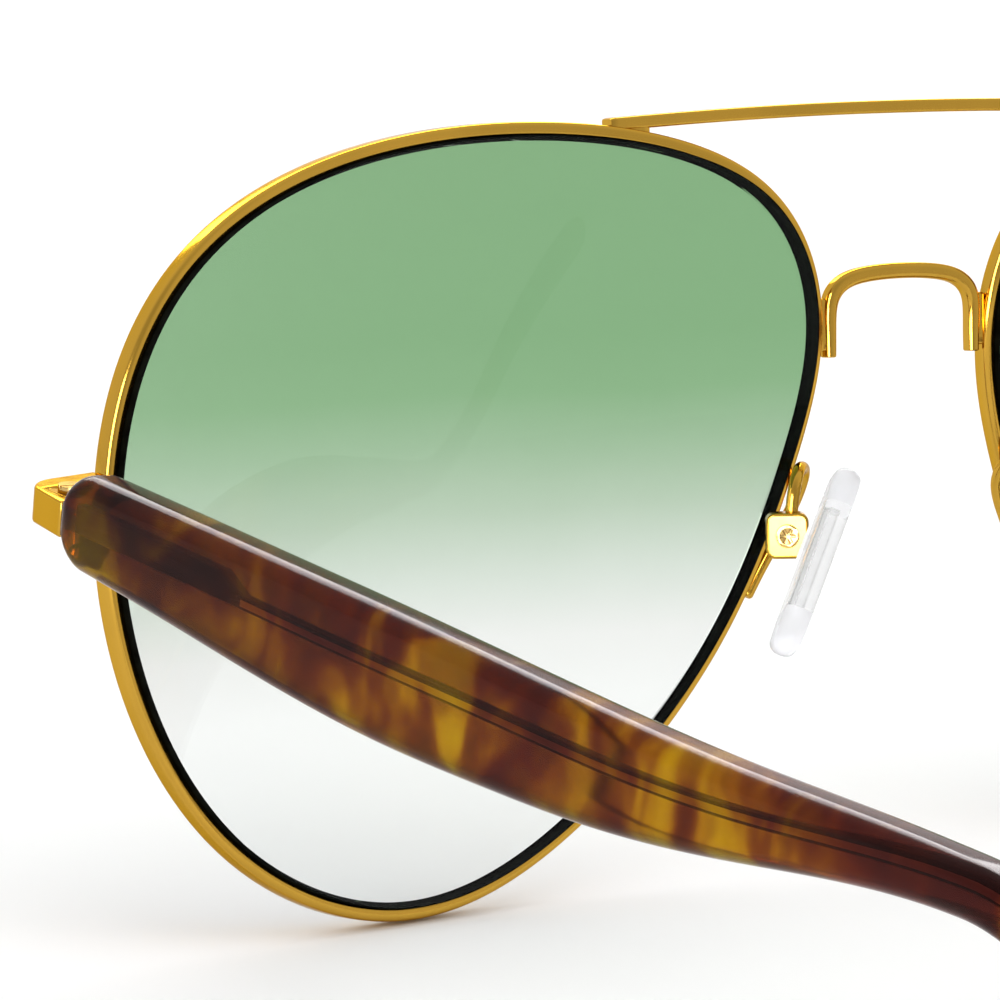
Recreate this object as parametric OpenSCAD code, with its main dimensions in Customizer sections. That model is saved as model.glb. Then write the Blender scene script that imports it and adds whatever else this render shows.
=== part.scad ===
// Aviator sunglasses: a double-bridge metal front, two tinted lenses in split rims,
// adjustable nose pads, and acetate temples on metal cores that fold on screwed hinges.
// Millimetres. +Z is up, the front faces -Y, and the wearer's left is +X. The glasses
// stand open on the rims and the temple tips; the origin is on that surface, at the
// centre of the footprint. Left-hand parts are drawn, and right-hand parts mirror them.

/* [Front] */
// Width of one rim over its outer edges
rim_w = 58.95; // [57:0.05:60.5]
// Height of one rim over its outer edges
rim_h = 51; // [49:0.1:53]
// Distance between the centres of the two rims
rim_spacing = 73.2; // [73:0.1:75]
// Face-form angle of each rim, seen from above
wrap = 6; // [5:0.5:7]
// Forward lean of the front above the temples
tilt = 10; // [9.5:0.1:10.5]
// Radius of the sphere that the lenses follow
lens_r = 87; // [80:1:95]

/* [Rims and lenses] */
// Thickness of the rim wire across the lens plane
rim_t = 0.85; // [0.8:0.01:1]
// Depth of the rim wire from front to back
rim_d = 1.5; // [1.4:0.1:1.8]
// Thickness of the lenses
lens_t = 2; // [1.8:0.1:2.2]

/* [Bridges] */
// Height of the flattened wire of the lower bridge
bridge_h = 1.05; // [0.8:0.05:1.1]
// Width of the legs of the lower bridge
leg_w = 0.85; // [0.7:0.05:0.9]
// Height of the brow bar
bar_h = 0.85; // [0.7:0.05:1]
// Depth of the brow bar
bar_d = 1.2; // [1:0.1:1.4]

/* [Hinges] */
// Radius of the hinge knuckles
knuckle_r = 1.05; // [1:0.01:1.1]
// Radius of the hinge screw's shank
pin_r = 0.55; // [0.5:0.01:0.6]
// Radial running clearance of the temple knuckle on its screw
pin_gap = 0.03; // [0.02:0.01:0.06]
// Height of the endpiece block
end_h = 2.3; // [2.2:0.05:2.4]

/* [Temples] */
// Length of the straight part of a temple, up to the ear bend
straight_l = 94.5; // [91:0.5:97]
// Angle that the tip bends down behind the ear
ear_bend = 48; // [47:0.5:49]
// Thickness of the acetate
acetate_t = 3.5; // [3.3:0.1:3.6]
// Height of the acetate at its belly
belly_h = 8; // [7.8:0.1:8.2]

/* [Nose pads] */
// Length of a pad
pad_l = 13.2; // [12.5:0.1:13.5]
// Width of a pad
pad_w = 6.2; // [5.8:0.1:6.4]
// Thickness of a pad
pad_t = 1.8; // [1.7:0.05:1.9]
// Angle of a pad in plan, from the fore-and-aft direction
pad_splay = 33; // [32:1:34]
// Angle of a pad from upright, seen from the front
pad_frontal = 22; // [21:0.5:23]

/* [Hidden] */

gold = "goldenrod";
tortoise = "saddlebrown";

// Control points of the rim's outer edge, which is 59 wide and 51 high at full size:
// u is towards the temple and v is up.
OUTLINE = [
    [29.5, -7.5], [30, 8], [23, 19], [8, 25], [-10.5, 26], [-25.5, 22.5],
    [-30.5, 12.5], [-28.5, 2.5], [-23, -10.5], [-9.5, -22.5], [6, -27.5], [21.5, -21]];
STATIONS = 120;
SPANS = len(OUTLINE);
outline_scale = [rim_w / 58.95, rim_h / 51];

// Half of the brow bar's centre line, from the middle out to its end on the rim.
BAR_PATH = [[0, -0.75, 25.7], [6, -0.74, 25.67], [12, -0.7, 25.53], [18, -0.62, 25.31], [23.3, -0.5, 25.05]];
bar_round = 0.15;
bar_steps = 32;

// Half of the lower bridge's centre line, from the foot of its leg up to the middle of the arch.
BRIDGE_PATH = [
    [5.84, -0.63, 9.18], [5.84, -0.62, 10.6], [5.9, -0.58, 12.1], [5.7, -0.52, 13.4],
    [4.55, -0.5, 14.35], [2.5, -0.5, 14.7], [0, -0.5, 14.8]];
bridge_d = 1.1;
bridge_round = 0.35;
bridge_steps = 48;

// Solder tabs between the legs of the bridge and the rims.
tab_z = 9.6;
tab_h = 3.5;
tab_d = 0.7;
tab_reach = 6.8;

// Depth of the lens plane's centre behind the front's own origin.
rim_setback = -3.46;
// Rim wire centre and lens centre behind the lens sphere, at the lens edge.
seat = 0.25;
lens_front = -0.7;
// How far the lens edge and its bevel lie inside the rim's outer edge.
lens_inset = rim_t + 0.02;
bevel_inset = 0.42;
groove_inset = 0.35;
groove_half = 0.32;
rim_soft = 0.1;

// Where the split in each rim lies, as a station on the outline, and its half width.
split_at = 5.1;
split_half = 0.055;

// Hinge axis and hinge levels, before the glasses are set on the ground.
hinge_x = 68.5;
hinge_y = 6.6;
end_z = 2.45;
end_top = end_z + end_h;
eye_h = 0.7;
eye_gap = 0.05;
knuckle_h = 1.15;
knuckle_z = end_top - eye_h - eye_gap - knuckle_h;
hinge_low = knuckle_z - eye_gap - eye_h;
screw_head_r = 1.1;
screw_head_h = 0.45;
fixed_gap = 0.01;

// Endpiece plan.
end_x = 65.25;
end_y = 3.25;
end_leg_d = 1.85;
end_corner_r = 1.9;
end_side_x = 70.3;
end_rise = 5;
end_flare = 8;
end_rear_y = 8.8;
cheek_x = 69.85;
seat_x = 67.65;
seat_y = end_y + end_leg_d;
plate_y = seat_y + 0.35;

// Flat tang that carries the temple's knuckle, across the hinge axis.
tang_in = 0.05;
tang_out = 0.9;

// Rim lock.
lock_x = 65.25;
lock_w = 1.6;
lock_y = 3.7;
lock_d = 1.4;
lock_split_z = 1.16;
lock_gap = 0.04;
lock_lower_h = 1.25;
lock_screw_r = 0.42;
lock_head_r = 0.68;
lock_head_h = 0.35;
lock_thread_l = 1.1;
lock_screw_in = 0.9;
lock_low = lock_split_z - lock_gap - lock_lower_h;

// Driver slots in the heads of the hinge screws and rim lock screws.
slot_w = 0.2;
slot_d = 0.15;

// Temple line: the top edge is level up to the ear bend, and the front end is full and round.
temple_x = 69.9;
temple_y = 10;
temple_top = 6.95;
nose_r = 2.6;
temple_steps = 44;
nose_steps = 5;
flat_at = 0.35;
tip_flat = 0.1;
tip_drop = 29.33;
tip_r = 24;
tip_round = 3.2;
tip_turn_in = 4;
tip_thin = 0.6;
tip_thin_l = 2.2;
nose_thin = 0.45;
face_round = 1.25;

// Height of the acetate, and rise of its top edge, at even steps from its front end to its tip.
HEIGHTS = [6, 6.75, 7.65, 8.2, 7.65, 7.05, 5.5, 3.95, 3.1, 3.4, 4.6, 5.8, 6.4];
RISES = [0.15, 0.05, -0.15, -0.3, -0.6, -0.9, -1, -0.6, -0.5, -1, -0.6, -0.4, -0.2];

// Metal core inside the acetate.
blade_l = 17.5;
blade_h = 1.85;
blade_step = 2.5;
core_t = 1.1;
core_h = 0.85;
core_end = 0.93;
core_gap = 0.03;
core_in = -0.55;
core_in_l = 30;
core_steps = 16;

// Lower edge of the core above the temple's centre line, at the same steps.
CORE_LOW = [-1.15, -0.75, -0.25, 0, 0, -0.25, -0.5, -0.4, 0, -0.3, -0.4, -0.4, -0.4];

// Nose pad box, in the front's own frame.
box_at = [11.94, 3, -2.16];
box_w = 2.8;
box_h = 3;
box_l = 2.6;
box_back = 0.95;
box_roof = 1.05;
box_face = 1.05;
slot_l = 1.3;
tab_l = 1.2;
tab_r = 0.8;
pad_off = 2.35;
pad_roll = 14;
pad_shift = [0.3, -1];
pad_screw_r = 0.4;
pad_head_r = 0.78;
pad_head_h = 0.2;
star_w = 1;
star_d = 0.1;
pad_steps = 14;
pad_last = 88;
pad_gap = 0.02;

// Plate and neck of the insert that the pad is moulded on.
plate_w = 3;
plate_l = 7;
plate_t = 0.5;
neck_h = 1;

// Wire that holds the pad box, from its foot on the rim round to the box.
arm_r = 0.42;
arm_steps = 32;
ARM_PATH = [
    [11.75, -2.15, -6.5], [10.85, -2.1, -5], [9.85, -1.9, -3.4], [8.8, -1.6, -1.5], [8, -1.2, 0.3],
    [8.2, -0.1, 1.9], [9.5, 1.2, 2.2], [10.8, 2.6, 1.7], [11.45, 3, 0.3], [11.55, 3, -0.8]];

// ---- curves ----

// Weights of a uniform cubic B-spline, and a point or a tangent of one span.
function weights(t) = [
    pow(1 - t, 3) / 6, (3 * t * t * t - 6 * t * t + 4) / 6,
    (-3 * t * t * t + 3 * t * t + 3 * t + 1) / 6, t * t * t / 6];
function slopes(t) = [
    -pow(1 - t, 2) / 2, (9 * t * t - 12 * t) / 6, (-9 * t * t + 6 * t + 3) / 6, t * t / 2];
function blend(cp, i, w) = sum_up([for (k = [0:3]) w[k] * cp[i + k]]);
function sum_up(v, i = 0) = i == len(v) - 1 ? v[i] : v[i] + sum_up(v, i + 1);

// Open B-spline through its end points, at s from 0 to 1.
function open_cp(p) = concat([2 * p[0] - p[1]], p, [2 * p[len(p) - 1] - p[len(p) - 2]]);
function spline(p, s) = let(
    n = len(p) - 1, x = min(max(s, 0), 0.99999) * n, i = floor(x))
    blend(open_cp(p), i, weights(x - i));
function spline_slope(p, s) = let(
    n = len(p) - 1, x = min(max(s, 0), 0.99999) * n, i = floor(x))
    blend(open_cp(p), i, slopes(x - i));

// Closed outline at a station, moved inwards by an inset.
function wrapped(i) = (i + 10 * SPANS) % SPANS;
function span_cp(i) = [for (k = [-1:2]) OUTLINE[wrapped(i + k)]];
function outline_raw(q) = let(x = q * SPANS / STATIONS, i = floor(x)) blend(span_cp(i), 0, weights(x - i));
function outline_dir(q) = let(x = q * SPANS / STATIONS, i = floor(x)) blend(span_cp(i), 0, slopes(x - i));
function outline(q, inset) = let(
    p = outline_raw(q), d = outline_dir(q), n = [d.y, -d.x] / norm(d))
    [p.x * outline_scale.x, p.y * outline_scale.y] - inset * n;

// ---- placing ----

// A point of the lens plane to the front's frame: sag of the sphere at one place, plus a depth.
function sag(p) = lens_r - sqrt(lens_r * lens_r - p.x * p.x - p.y * p.y);
function on_front(p, y) = [
    p.x * cos(wrap) - y * sin(wrap) + rim_spacing / 2,
    p.x * sin(wrap) + y * cos(wrap) + rim_setback,
    p.y];
// The front's frame to the standing glasses, before they are set on the ground.
function lean(p) = [p.x, p.y * cos(tilt) - p.z * sin(tilt), p.y * sin(tilt) + p.z * cos(tilt)];

module standing() {
    translate(stand) children();
}

module on_lean() {
    standing() rotate([tilt, 0, 0]) children();
}

module sided(side) {
    if (side == "left") children();
    if (side == "right") mirror([1, 0, 0]) children();
}

// Skin over a row of rings that all have the same number of points.
module skin(rings, closed = false) {
    n = len(rings);
    m = len(rings[0]);
    walls = [for (i = [0:n - (closed ? 1 : 2)]) for (j = [0:m - 1])
        let(a = i * m + j, b = i * m + (j + 1) % m, c = ((i + 1) % n) * m + (j + 1) % m,
            d = ((i + 1) % n) * m + j)
        each [[a, c, b], [a, d, c]]];
    caps = closed ? [] : [[for (j = [0:m - 1]) j], [for (j = [m - 1:-1:0]) (n - 1) * m + j]];
    polyhedron(points = [for (r = rings) each r], faces = concat(caps, walls), convexity = 10);
}

// Rounded rectangle of half sizes a and b with corner radius r, as points.
function round_box(a, b, r, per = 3) = [for (k = [0:3]) for (j = [0:per])
    let(cx = (k == 0 || k == 3) ? 1 : -1, cy = k < 2 ? 1 : -1, g = 90 * k + 90 * j / per)
    [cx * (a - r) + r * cos(g), cy * (b - r) + r * sin(g)]];

// A section at a place on a path that runs along dir: its x is level and its y is upright.
function upright(at, dir, pts) = let(
    d = dir / norm(dir), x = cross(d, [0, 0, 1]) / norm(cross(d, [0, 0, 1])), z = cross(x, d))
    [for (p = pts) at + p.x * x + p.y * z];

// ---- rims and lenses ----

// Rim section: inset from the outer edge, and depth from the wire's centre.
RIM_SECTION = [
    [rim_soft, -rim_d / 2], [0, -rim_d / 2 + rim_soft], [0, rim_d / 2 - rim_soft], [rim_soft, rim_d / 2],
    [rim_t - rim_soft, rim_d / 2], [rim_t, rim_d / 2 - rim_soft], [rim_t, groove_half],
    [groove_inset, 0], [rim_t, -groove_half], [rim_t, -rim_d / 2 + rim_soft],
    [rim_t - rim_soft, -rim_d / 2]];

function rim_ring(q) = let(y = sag(outline(q, lens_inset)) + seat)
    [for (s = RIM_SECTION) on_front(outline(q, s.x), y + s.y)];

module rim() {
    turns = [for (k = [1:STATIONS - 1]) split_at + k];
    on_lean() skin([for (q = concat([split_at + split_half], turns, [split_at + STATIONS - split_half]))
        rim_ring(q)]);
}

// Lens rings from the middle of the front face, over the bevel, to the middle of the back.
function lens_ring(share, depth) = [for (q = [0:STATIONS - 1])
    let(p = share * outline(q, lens_inset)) on_front(p, sag(p) + seat + depth)];
function bevel_ring() = [for (q = [0:STATIONS - 1])
    on_front(outline(q, bevel_inset), sag(outline(q, lens_inset)) + seat)];
LENS_SHARES = [0.04, 0.45, 0.78, 1];

module lens() {
    back = lens_front + lens_t;
    on_lean() skin(concat(
        [for (f = LENS_SHARES) lens_ring(f, lens_front)],
        [lens_ring(1, -groove_half + 0.02), bevel_ring(), lens_ring(1, groove_half - 0.02)],
        [for (k = [3:-1:0]) lens_ring(LENS_SHARES[k], back)]));
}

// ---- bridges ----

// A half centre line, given from its foot to its middle, with its mirror image after it.
function mirrored(path) = concat(
    path, [for (k = [len(path) - 2:-1:0]) [-path[k].x, path[k].y, path[k].z]]);

// The bridge wire is a flattened round that stands upright in the front's plane.
function bridge_ring(s) = let(
    line = mirrored(BRIDGE_PATH),
    at = spline(line, s), d = spline_slope(line, s), out = cross([0, 1, 0], d / norm(d)),
    w = leg_w + (bridge_h - leg_w) * min(1, 2 * (1 - abs(2 * s - 1))))
    [for (p = round_box(w / 2, bridge_d / 2, bridge_round)) at + p.x * out + p.y * [0, 1, 0]];

module bridge() {
    color(gold) on_lean() {
        skin([for (k = [0:bridge_steps]) bridge_ring(k / bridge_steps)]);
        for (x = [BRIDGE_PATH[0].x, -tab_reach]) {
            translate([x, BRIDGE_PATH[0].y - tab_d / 2, tab_z])
                cube([tab_reach - BRIDGE_PATH[0].x, tab_d, tab_h]);
        }
    }
}

module brow_bar() {
    half = [for (k = [len(BAR_PATH) - 1:-1:0]) BAR_PATH[k]];
    line = mirrored(half);
    section = round_box(bar_d / 2, bar_h / 2, bar_round, 2);
    color(gold) on_lean() skin([for (k = [0:bar_steps]) let(s = k / bar_steps)
        upright(spline(line, s), spline_slope(line, s), section)]);
}

// ---- endpiece and rim lock ----

function end_side(y) = end_side_x + (y - end_y - end_corner_r) * tan(end_flare);
END_PLAN = concat(
    [[end_x, end_y]],
    [for (a = [-90:15:0])
        [end_side_x - end_corner_r, end_y + end_corner_r] + end_corner_r * [cos(a), sin(a)]],
    [[end_side(end_rear_y), end_rear_y], [cheek_x, end_rear_y], [cheek_x, seat_y], [seat_x, seat_y],
     [seat_x, end_y + end_leg_d], [end_x, end_y + end_leg_d]]);

// The top face climbs from the side face in to the rim.
module endpiece() {
    reach = 20;
    color(gold) standing() difference() {
        translate([0, 0, end_z]) linear_extrude(end_h + 1) polygon(END_PLAN);
        translate([end_side_x, 0, end_top]) {
            rotate([0, end_rise, 0]) translate([-reach, 0, 0]) cube([reach, reach, reach]);
            translate([-0.01, 0, 0]) cube([reach, reach, reach]);
        }
    }
}

// Both halves of the lock and their screw share one upright axis.
module at_lock(z) {
    standing() translate([lock_x + lock_w / 2, lock_y + lock_d / 2, z]) children();
}

module lock_half(h) {
    translate([-lock_w / 2, -lock_d / 2, 0]) cube([lock_w, lock_d, h]);
}

module upper_rim_lock() {
    z = lock_split_z + lock_gap;
    color(gold) at_lock(z) difference() {
        lock_half(end_z - z);
        translate([0, 0, -1]) cylinder(r = lock_screw_r, h = 1 + lock_thread_l, $fn = 32);
    }
}

module lower_rim_lock() {
    color(gold) at_lock(lock_low) difference() {
        lock_half(lock_lower_h);
        translate([0, 0, -1]) cylinder(r = lock_screw_r + pin_gap, h = lock_lower_h + 2, $fn = 32);
    }
}

module rim_lock_screw() {
    color(gold) at_lock(lock_low - lock_head_h) {
        difference() {
            cylinder(r = lock_head_r, h = lock_head_h, $fn = 48);
            translate([0, 0, slot_d - 1]) slot_cut();
        }
        cylinder(r = lock_screw_r - fixed_gap, h = lock_head_h + lock_lower_h + lock_screw_in, $fn = 32);
    }
}

// Straight driver slot, one millimetre deep from the level that it is placed at.
module slot_cut() {
    translate([-2, -slot_w / 2, 0]) cube([4, slot_w, 1]);
}

// ---- hinge ----

// The lower eye is round, and the upper one is a plate that closes the top of the endpiece.
module lower_eye() {
    translate([hinge_x, hinge_y, hinge_low]) cylinder(r = knuckle_r, h = eye_h, $fn = 64);
    translate([hinge_x - knuckle_r, plate_y - 0.1, hinge_low])
        cube([2 * knuckle_r, hinge_y - plate_y + 0.1, eye_h]);
}

module upper_eye() {
    translate([hinge_x - knuckle_r, plate_y - 0.1, end_top - eye_h])
        cube([cheek_x - fixed_gap - hinge_x + knuckle_r, end_rear_y - plate_y + 0.1, eye_h]);
}

module front_hinge() {
    color(gold) standing() {
        difference() {
            union() {
                lower_eye();
                upper_eye();
            }
            translate([hinge_x, hinge_y, 0]) cylinder(r = pin_r + fixed_gap, h = 2 * end_top, $fn = 48);
        }
        translate([hinge_x - knuckle_r, seat_y, hinge_low])
            cube([2 * knuckle_r, plate_y - seat_y, end_top - hinge_low]);
    }
}

module hinge_screw() {
    color(gold) standing() translate([hinge_x, hinge_y, hinge_low]) difference() {
        union() {
            cylinder(r = pin_r, h = end_top - hinge_low, $fn = 48);
            translate([0, 0, end_top - hinge_low]) cylinder(r = screw_head_r, h = screw_head_h, $fn = 48);
        }
        translate([0, 0, end_top - hinge_low + screw_head_h - slot_d]) slot_cut();
    }
}

module temple_hinge() {
    color(gold) standing() translate([hinge_x, hinge_y, knuckle_z]) difference() {
        union() {
            cylinder(r = knuckle_r, h = knuckle_h, $fn = 64);
            translate([tang_in, 0, 0]) cube([tang_out - tang_in, temple_y - hinge_y, knuckle_h]);
        }
        translate([0, 0, -1]) cylinder(r = pin_r + pin_gap, h = knuckle_h + 2, $fn = 48);
    }
}

// ---- temples ----

function height_at(s) = spline(HEIGHTS, s) * (belly_h / 8);

// Centre line: level along its top edge, then turned down and in behind the ear.
arc_l = tip_r * ear_bend * PI / 180;
drop_l = (tip_drop - tip_r * (1 - cos(ear_bend))) / sin(ear_bend);
temple_l = straight_l + arc_l + drop_l;
function mid_line(l) = l < straight_l ? [l, 0] :
    l < straight_l + arc_l ? let(a = (l - straight_l) / tip_r * 180 / PI)
        [straight_l + tip_r * sin(a), -tip_r * (1 - cos(a))] :
    let(m = l - straight_l - arc_l)
        [straight_l + tip_r * sin(ear_bend) + m * cos(ear_bend),
         -tip_r * (1 - cos(ear_bend)) - m * sin(ear_bend)];
function temple_axis(s) = let(
    l = s * temple_l, m = mid_line(l),
    in = tip_turn_in * pow(max(0, (l - straight_l) / (temple_l - straight_l)), 2),
    half = height_at(min(s, straight_l / temple_l)) / 2)
    [temple_x - in, temple_y + m.x, temple_top + spline(RISES, s) - half + m.y];
function temple_dir(s) = temple_axis(s + 0.002) - temple_axis(s - 0.002);

// Rounded ends: the section shrinks over the first and last few millimetres.
function end_share(l, r) = l >= r ? 1 : sqrt(max(0.0001, 1 - pow((r - l) / r, 2)));
function temple_ring(s) = let(
    l = s * temple_l,
    to_tip = temple_l - l + tip_flat,
    h = height_at(s) * end_share(l + flat_at, nose_r) * end_share(to_tip, tip_round),
    nose_t = 1 - nose_thin * (1 - end_share(l + flat_at, face_round)),
    tip_t = 1 - tip_thin * (1 - end_share(to_tip, tip_thin_l)),
    t = acetate_t * nose_t * tip_t)
    upright(temple_axis(s), temple_dir(s), round_box(t / 2, h / 2, min(face_round, t * 0.36, h * 0.36)));

function nose_share(k) = nose_r * (1 - cos(90 * k / nose_steps)) / temple_l;
TEMPLE_SHARES = concat(
    [for (k = [0:nose_steps - 1]) nose_share(k)],
    [for (k = [0:temple_steps]) let(a = nose_r / temple_l) a + (1 - 2 * a) * k / temple_steps],
    [for (k = [nose_steps - 1:-1:0]) 1 - nose_share(k)]);

// The core's section: a blade at the front that steps down to a narrow wire on the same lower edge.
wire_l = blade_l + blade_step;
function core_share(s) = min(1, max(0, (s * temple_l - blade_l) / blade_step));
function core_taper(s) = 1 - 0.5 * max(0, (s - 0.7) / 0.3);
function core_half(s) = (blade_h + (core_h - blade_h) * core_share(s)) / 2 * core_taper(s);
function core_ring(s, grow) = let(
    h = core_half(s),
    level = spline(CORE_LOW, s) + h,
    off = core_in * (1 - min(1, s * temple_l / core_in_l)))
    upright(temple_axis(s) + [off, 0, 0], temple_dir(s),
        [for (p = round_box(core_t / 2 + grow, h + grow, 0.3)) p + [0, level]]);
CORE_SHARES = concat(
    [for (k = [0:5]) blade_l * k / 5 / temple_l],
    [(blade_l + blade_step / 2) / temple_l, wire_l / temple_l],
    [for (k = [1:core_steps]) let(a = wire_l / temple_l) a + (core_end - a) * k / core_steps]);

module temple() {
    outer = [for (k = [len(TEMPLE_SHARES) - 1:-1:0]) temple_ring(TEMPLE_SHARES[k])];
    pocket = concat([for (s = CORE_SHARES) core_ring(s, core_gap)], [core_ring(core_end + 0.002, core_gap)]);
    color(tortoise) standing() skin(concat(outer, pocket));
}

module temple_core() {
    color("silver") standing() skin([for (s = CORE_SHARES) core_ring(s, 0)]);
}

// ---- nose pads ----

module at_box() {
    on_lean() translate(box_at) rotate([0, 0, -pad_splay]) children();
}

// The arm never runs along the pad screw, so the screw's direction sets how its rings turn.
function arm_ring(s) = let(
    d = spline_slope(ARM_PATH, s), a = cross(d, [sin(pad_splay), cos(pad_splay), 0]),
    x = a / norm(a), y = cross(d / norm(d), x))
    [for (g = [0:45:315]) spline(ARM_PATH, s) + arm_r * (cos(g) * x + sin(g) * y)];

module pad_arm() {
    color(gold) on_lean() skin([for (k = [0:arm_steps]) arm_ring(k / arm_steps)]);
}

// The box is open below and towards the pad, whose side is cut off square to the pad.
module pad_box() {
    color(gold) at_box() difference() {
        translate([-box_w / 2, -box_l / 2, -box_h / 2]) cube([box_w, box_l, box_h]);
        translate([box_back - box_h, -slot_l / 2, box_roof - 2 * box_h]) cube([box_h, slot_l, 2 * box_h]);
        rotate([0, -pad_frontal, 0]) translate([-box_face - box_h, -box_l, -box_h])
            cube([box_h, 2 * box_l, 2 * box_h]);
        rotate([90, 0, 0]) cylinder(r = pad_screw_r + fixed_gap, h = 2 * box_l, center = true, $fn = 48);
    }
}

module pad_screw() {
    color(gold) at_box() difference() {
        union() {
            rotate([90, 0, 0]) cylinder(r = pad_screw_r, h = box_l, center = true, $fn = 48);
            translate([0, box_l / 2, 0]) rotate([-90, 0, 0])
                cylinder(r = pad_head_r, h = pad_head_h, $fn = 48);
        }
        for (a = [0:60:120]) {
            translate([0, box_l / 2 + pad_head_h, 0]) rotate([0, a, 0])
                cube([star_w, 2 * star_d, star_d * 1.8], center = true);
        }
    }
}

module at_frontal() {
    at_box() rotate([0, -pad_frontal, 0]) children();
}

module pad_place() {
    at_frontal() translate([-pad_off, pad_shift.x, pad_shift.y]) rotate([pad_roll, 0, 0]) children();
}

module pad_insert() {
    color("whitesmoke") {
        at_box() difference() {
            union() {
                rotate([90, 0, 0]) cylinder(r = tab_r, h = tab_l, center = true, $fn = 48);
                rotate([0, -pad_frontal, 0]) translate([-pad_off + plate_t / 2, -tab_l / 2, -neck_h / 2])
                    cube([pad_off - plate_t / 2, tab_l, neck_h]);
            }
            rotate([90, 0, 0]) cylinder(r = pad_screw_r + pin_gap, h = 2 * box_l, center = true, $fn = 48);
        }
        pad_place() cube([plate_t, plate_w, plate_l], center = true);
    }
}

// The pad is a rounded slab; its rings are sections across its length.
function pad_ring(g) = let(full = pow(cos(g), 0.55), thick = pad_t * pow(cos(g), 0.4))
    [for (p = round_box(thick / 2, pad_w / 2 * full, pad_t * 0.42 * full))
        [p.x, p.y, pad_l / 2 * sin(g) / sin(pad_last)]];

module nose_pad() {
    color("white", 0.6) difference() {
        pad_place() skin([for (k = [0:pad_steps]) pad_ring(pad_last * (2 * k / pad_steps - 1))]);
        pad_place() cube([plate_t, plate_w, plate_l] + 2 * pad_gap * [1, 1, 1], center = true);
        at_frontal() translate([-pad_off, -tab_l / 2 - pad_gap, -neck_h / 2 - pad_gap])
            cube([pad_off, tab_l + 2 * pad_gap, neck_h + 2 * pad_gap]);
    }
}

// ---- setting on the ground ----

// Lowest point of the rims, foremost point of the brow bar, and rearmost point of the tips.
ground = min([for (q = [0:STATIONS - 1])
    let(y = sag(outline(q, lens_inset)) + seat - rim_d / 2 + rim_soft)
    lean(on_front(outline(q, 0), y)).z]);
foremost = lean([0, BAR_PATH[0].y - bar_d / 2, BAR_PATH[0].z + bar_h / 2]).y;
rearmost = max([for (s = TEMPLE_SHARES) if (s > 0.9) for (p = temple_ring(s)) p.y]);
stand = [0, -(foremost + rearmost) / 2, -ground];

// ---- assembly ----

bridge();
brow_bar();
for (side = ["left", "right"]) sided(side) {
    color(gold) rim();
    color("darkseagreen", 0.6) lens();
    endpiece();
    upper_rim_lock();
    lower_rim_lock();
    rim_lock_screw();
    front_hinge();
    hinge_screw();
    temple_hinge();
    temple_core();
    temple();
    pad_arm();
    pad_box();
    pad_screw();
    pad_insert();
    nose_pad();
}
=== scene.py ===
"""Aviator sunglasses: finer meshes, materials, soft studio light and the camera.

Measures are in millimetres until stood() turns them into metres on the ground. Points of the
front lie in its own upright frame, which stood() leans by TILT. The temples aren't leaned.
"""
import math

import bmesh
import bpy
import numpy as np
from mathutils import Matrix, Vector


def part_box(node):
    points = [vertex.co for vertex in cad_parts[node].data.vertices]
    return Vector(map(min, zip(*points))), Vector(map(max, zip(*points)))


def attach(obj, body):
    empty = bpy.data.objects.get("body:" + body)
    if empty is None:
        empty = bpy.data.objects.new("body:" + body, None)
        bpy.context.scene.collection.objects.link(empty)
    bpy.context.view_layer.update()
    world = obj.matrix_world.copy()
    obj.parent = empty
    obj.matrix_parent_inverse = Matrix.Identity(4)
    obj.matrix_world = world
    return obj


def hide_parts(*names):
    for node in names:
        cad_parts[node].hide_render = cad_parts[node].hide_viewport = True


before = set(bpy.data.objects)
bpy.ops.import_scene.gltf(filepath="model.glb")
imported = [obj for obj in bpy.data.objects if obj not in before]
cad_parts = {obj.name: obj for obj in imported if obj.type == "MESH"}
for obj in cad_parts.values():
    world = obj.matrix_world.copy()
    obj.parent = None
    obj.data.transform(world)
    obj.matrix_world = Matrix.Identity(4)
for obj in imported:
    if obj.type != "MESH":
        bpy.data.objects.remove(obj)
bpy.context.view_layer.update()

MM = 0.001
SIDES = {"left": 1, "right": -1}

# ---- measures of the rims and lenses ----

RIM_SPACING = 73.2
RIM_SETBACK = -3.46
WRAP = math.radians(6)
TILT = math.radians(10)

# The outline's B-spline, in the lens's own plane. Places on it are shares of a turn.
OUTLINE = np.array([
    [29.5, -7.5], [30, 8], [23, 19], [8, 25], [-10.5, 26], [-25.5, 22.5],
    [-30.5, 12.5], [-28.5, 2.5], [-23, -10.5], [-9.5, -22.5], [6, -27.5], [21.5, -21]])
# The stretch of the outline that has the rim's upper edge.
UPPER_TURNS = (0.2, 0.6)

RIM_T = 0.85
RIM_D = 1.5
RIM_SOFT = 0.3
RIM_INNER_SOFT = 0.1
RIM_RINGS = 480
GROOVE_INSET = 0.35
GROOVE_HALF = 0.32
SPLIT_AT = 5.1 / 120
SPLIT_HALF = 0.055 / 120

LENS_R = 87
LENS_T = 2
LENS_FRONT = -0.7
LENS_INSET = 0.87
LENS_HALF = 26
LENS_STEPS = 480
LENS_SHARES = np.concatenate([[0.03, 0.1], np.linspace(0.2, 1, 9)])
SEAT = 0.25
CHAMFER = 0.08
BEVEL_INSET = 0.42
BEVEL_GAP = 0.02
GLASS, EDGE = 0, 1

# ---- measures of the bridges ----

BAR_PATH = [[0, -0.75, 25.7], [6, -0.74, 25.67], [12, -0.7, 25.53], [18, -0.62, 25.31], [23.3, -0.5, 25.05]]
BAR_H = 0.85
BAR_D = 1.2
BAR_SOFT = 0.17
BAR_RINGS = 160
BAR_TRIM = 0.06

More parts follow.
